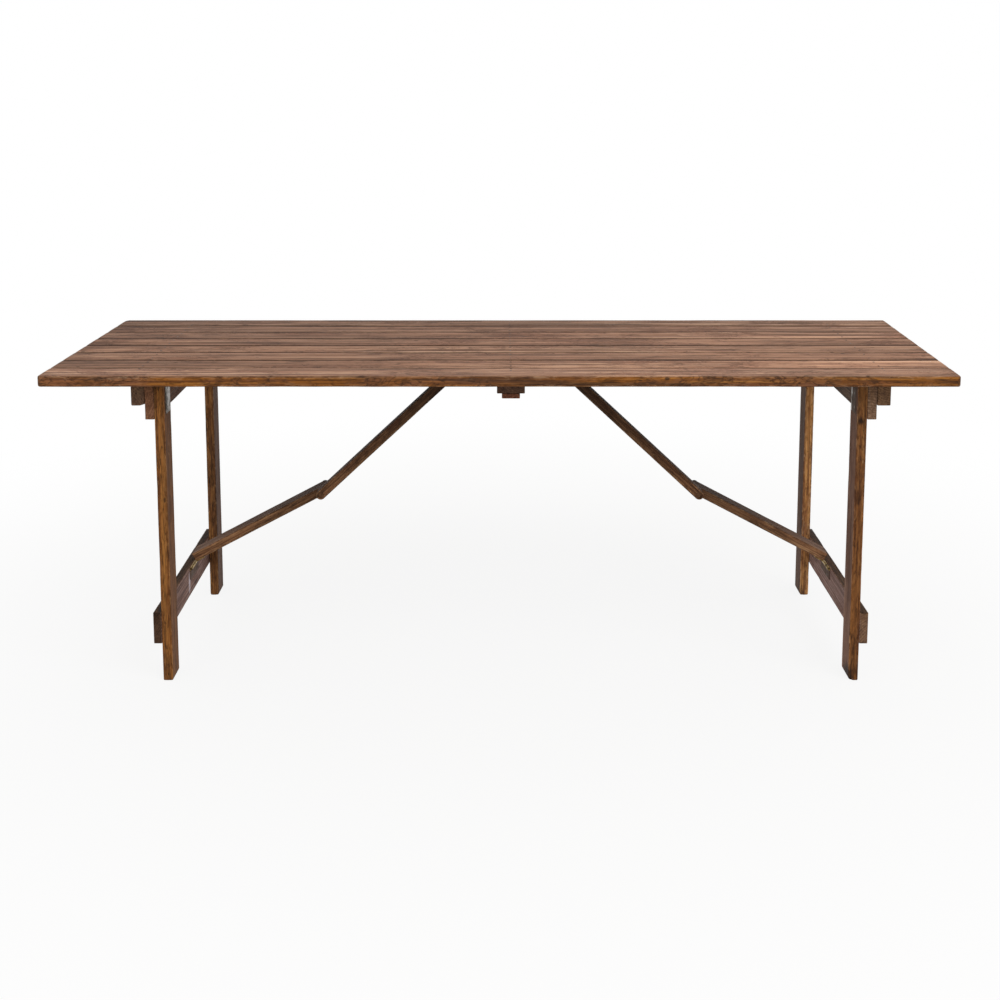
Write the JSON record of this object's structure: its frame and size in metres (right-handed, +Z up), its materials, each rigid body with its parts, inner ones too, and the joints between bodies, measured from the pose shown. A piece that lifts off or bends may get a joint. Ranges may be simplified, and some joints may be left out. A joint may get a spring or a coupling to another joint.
{
  "type": "folding trestle table",
  "caption": "Long wooden table with a slatted top on two hinged leg frames, each held open by a knee-jointed wooden brace that folds flat with the frame under the top.",
  "frame": {"origin": "on the floor, at the middle of the table's box", "axes": "+X along the table's length, +Y from the pictured front to the back, +Z up"},
  "size_m": [2.15, 0.762, 0.762],
  "materials": {
    "worn_top_wood": "old oiled softwood, grey-brown, worn and scratched",
    "stained_frame_wood": "brown stained softwood with a dull old varnish",
    "grey_hinge_steel": "dull zinc-grey pressed steel hinge",
    "brassed_hinge": "tarnished brassed steel hinge",
    "dark_iron": "dark iron screws, nails and bolts"
  },
  "bodies": {
    "table_top": {"centre_batten": "stained_frame_wood", "centre_cleat": "stained_frame_wood", "cleat_nails": "dark_iron", "left_brace_top_leaf": "grey_hinge_steel", "left_brace_top_pin": "dark_iron", "left_end_batten": "stained_frame_wood", "left_leg_hinge_top_leaves": "grey_hinge_steel", "right_brace_top_leaf": "grey_hinge_steel", "right_brace_top_pin": "dark_iron", "right_end_batten": "stained_frame_wood", "right_leg_hinge_top_leaves": "grey_hinge_steel", "slat_1": "worn_top_wood", "slat_2": "worn_top_wood", "slat_3": "worn_top_wood", "slat_4": "worn_top_wood", "slat_5": "worn_top_wood", "slat_6": "worn_top_wood", "slat_7": "worn_top_wood", "slat_8": "worn_top_wood", "slat_nails": "dark_iron", "top_hinge_screws": "dark_iron"},
    "left_frame": {"left_front_leg": "stained_frame_wood", "left_back_leg": "stained_frame_wood", "left_head_rail": "stained_frame_wood", "left_stretcher": "stained_frame_wood", "left_leg_hinge_leaves": "grey_hinge_steel", "left_frame_hinge_pins": "dark_iron", "left_frame_screws": "dark_iron", "left_frame_hinge_screws": "dark_iron", "left_stretcher_hinge_leaf": "brassed_hinge"},
    "left_upper_brace": {"left_upper_strut": "stained_frame_wood", "left_upper_strut_hinge_leaf": "grey_hinge_steel", "left_upper_strut_screws": "dark_iron", "left_knee_bolt": "dark_iron"},
    "left_lower_brace": {"left_lower_strut": "stained_frame_wood", "left_lower_strut_hinge_leaf": "brassed_hinge", "left_lower_strut_screws": "dark_iron", "left_knee_bolt_tail": "dark_iron", "left_knee_washer": "dark_iron", "left_knee_nut": "dark_iron"},
    "right_frame": {"right_front_leg": "stained_frame_wood", "right_back_leg": "stained_frame_wood", "right_head_rail": "stained_frame_wood", "right_stretcher": "stained_frame_wood", "right_leg_hinge_leaves": "grey_hinge_steel", "right_frame_hinge_pins": "dark_iron", "right_frame_screws": "dark_iron", "right_frame_hinge_screws": "dark_iron", "right_stretcher_hinge_leaf": "brassed_hinge"},
    "right_upper_brace": {"right_upper_strut": "stained_frame_wood", "right_upper_strut_hinge_leaf": "grey_hinge_steel", "right_upper_strut_screws": "dark_iron", "right_knee_bolt": "dark_iron"},
    "right_lower_brace": {"right_lower_strut": "stained_frame_wood", "right_lower_strut_hinge_leaf": "brassed_hinge", "right_lower_strut_screws": "dark_iron", "right_knee_bolt_tail": "dark_iron", "right_knee_washer": "dark_iron", "right_knee_nut": "dark_iron"}
  },
  "joints": [
    {"name": "left_leg_fold", "type": "hinge", "parent": "table_top", "child": "left_frame", "pos_m": [-0.791, 0, 0.732], "axis": [0, -1, 0], "range_deg": [0, 88]},
    {"name": "left_upper_brace_swing", "type": "hinge", "parent": "table_top", "child": "left_upper_brace", "pos_m": [-0.10307, 0, 0.732], "axis": [0, 1, 0], "range_deg": [0, 40.01]},
    {"name": "left_lower_brace_swing", "type": "hinge", "parent": "left_frame", "child": "left_lower_brace", "pos_m": [-0.815, 0, 0.166], "axis": [0, -1, 0], "range_deg": [0, 62]},
    {"name": "right_leg_fold", "type": "hinge", "parent": "table_top", "child": "right_frame", "pos_m": [0.831, 0, 0.732], "axis": [0, 1, 0], "range_deg": [0, 88]},
    {"name": "right_upper_brace_swing", "type": "hinge", "parent": "table_top", "child": "right_upper_brace", "pos_m": [0.14306, 0, 0.732], "axis": [0, -1, 0], "range_deg": [0, 40.01]},
    {"name": "right_lower_brace_swing", "type": "hinge", "parent": "right_frame", "child": "right_lower_brace", "pos_m": [0.855, 0, 0.166], "axis": [0, 1, 0], "range_deg": [0, 62]}
  ],
  "couplings": [
    {"joint": "left_upper_brace_swing", "follows": "left_leg_fold", "ratio": 0.4547},
    {"joint": "left_lower_brace_swing", "follows": "left_leg_fold", "ratio": 0.70455},
    {"joint": "right_upper_brace_swing", "follows": "right_leg_fold", "ratio": 0.4547},
    {"joint": "right_lower_brace_swing", "follows": "right_leg_fold", "ratio": 0.70455}
  ]
}
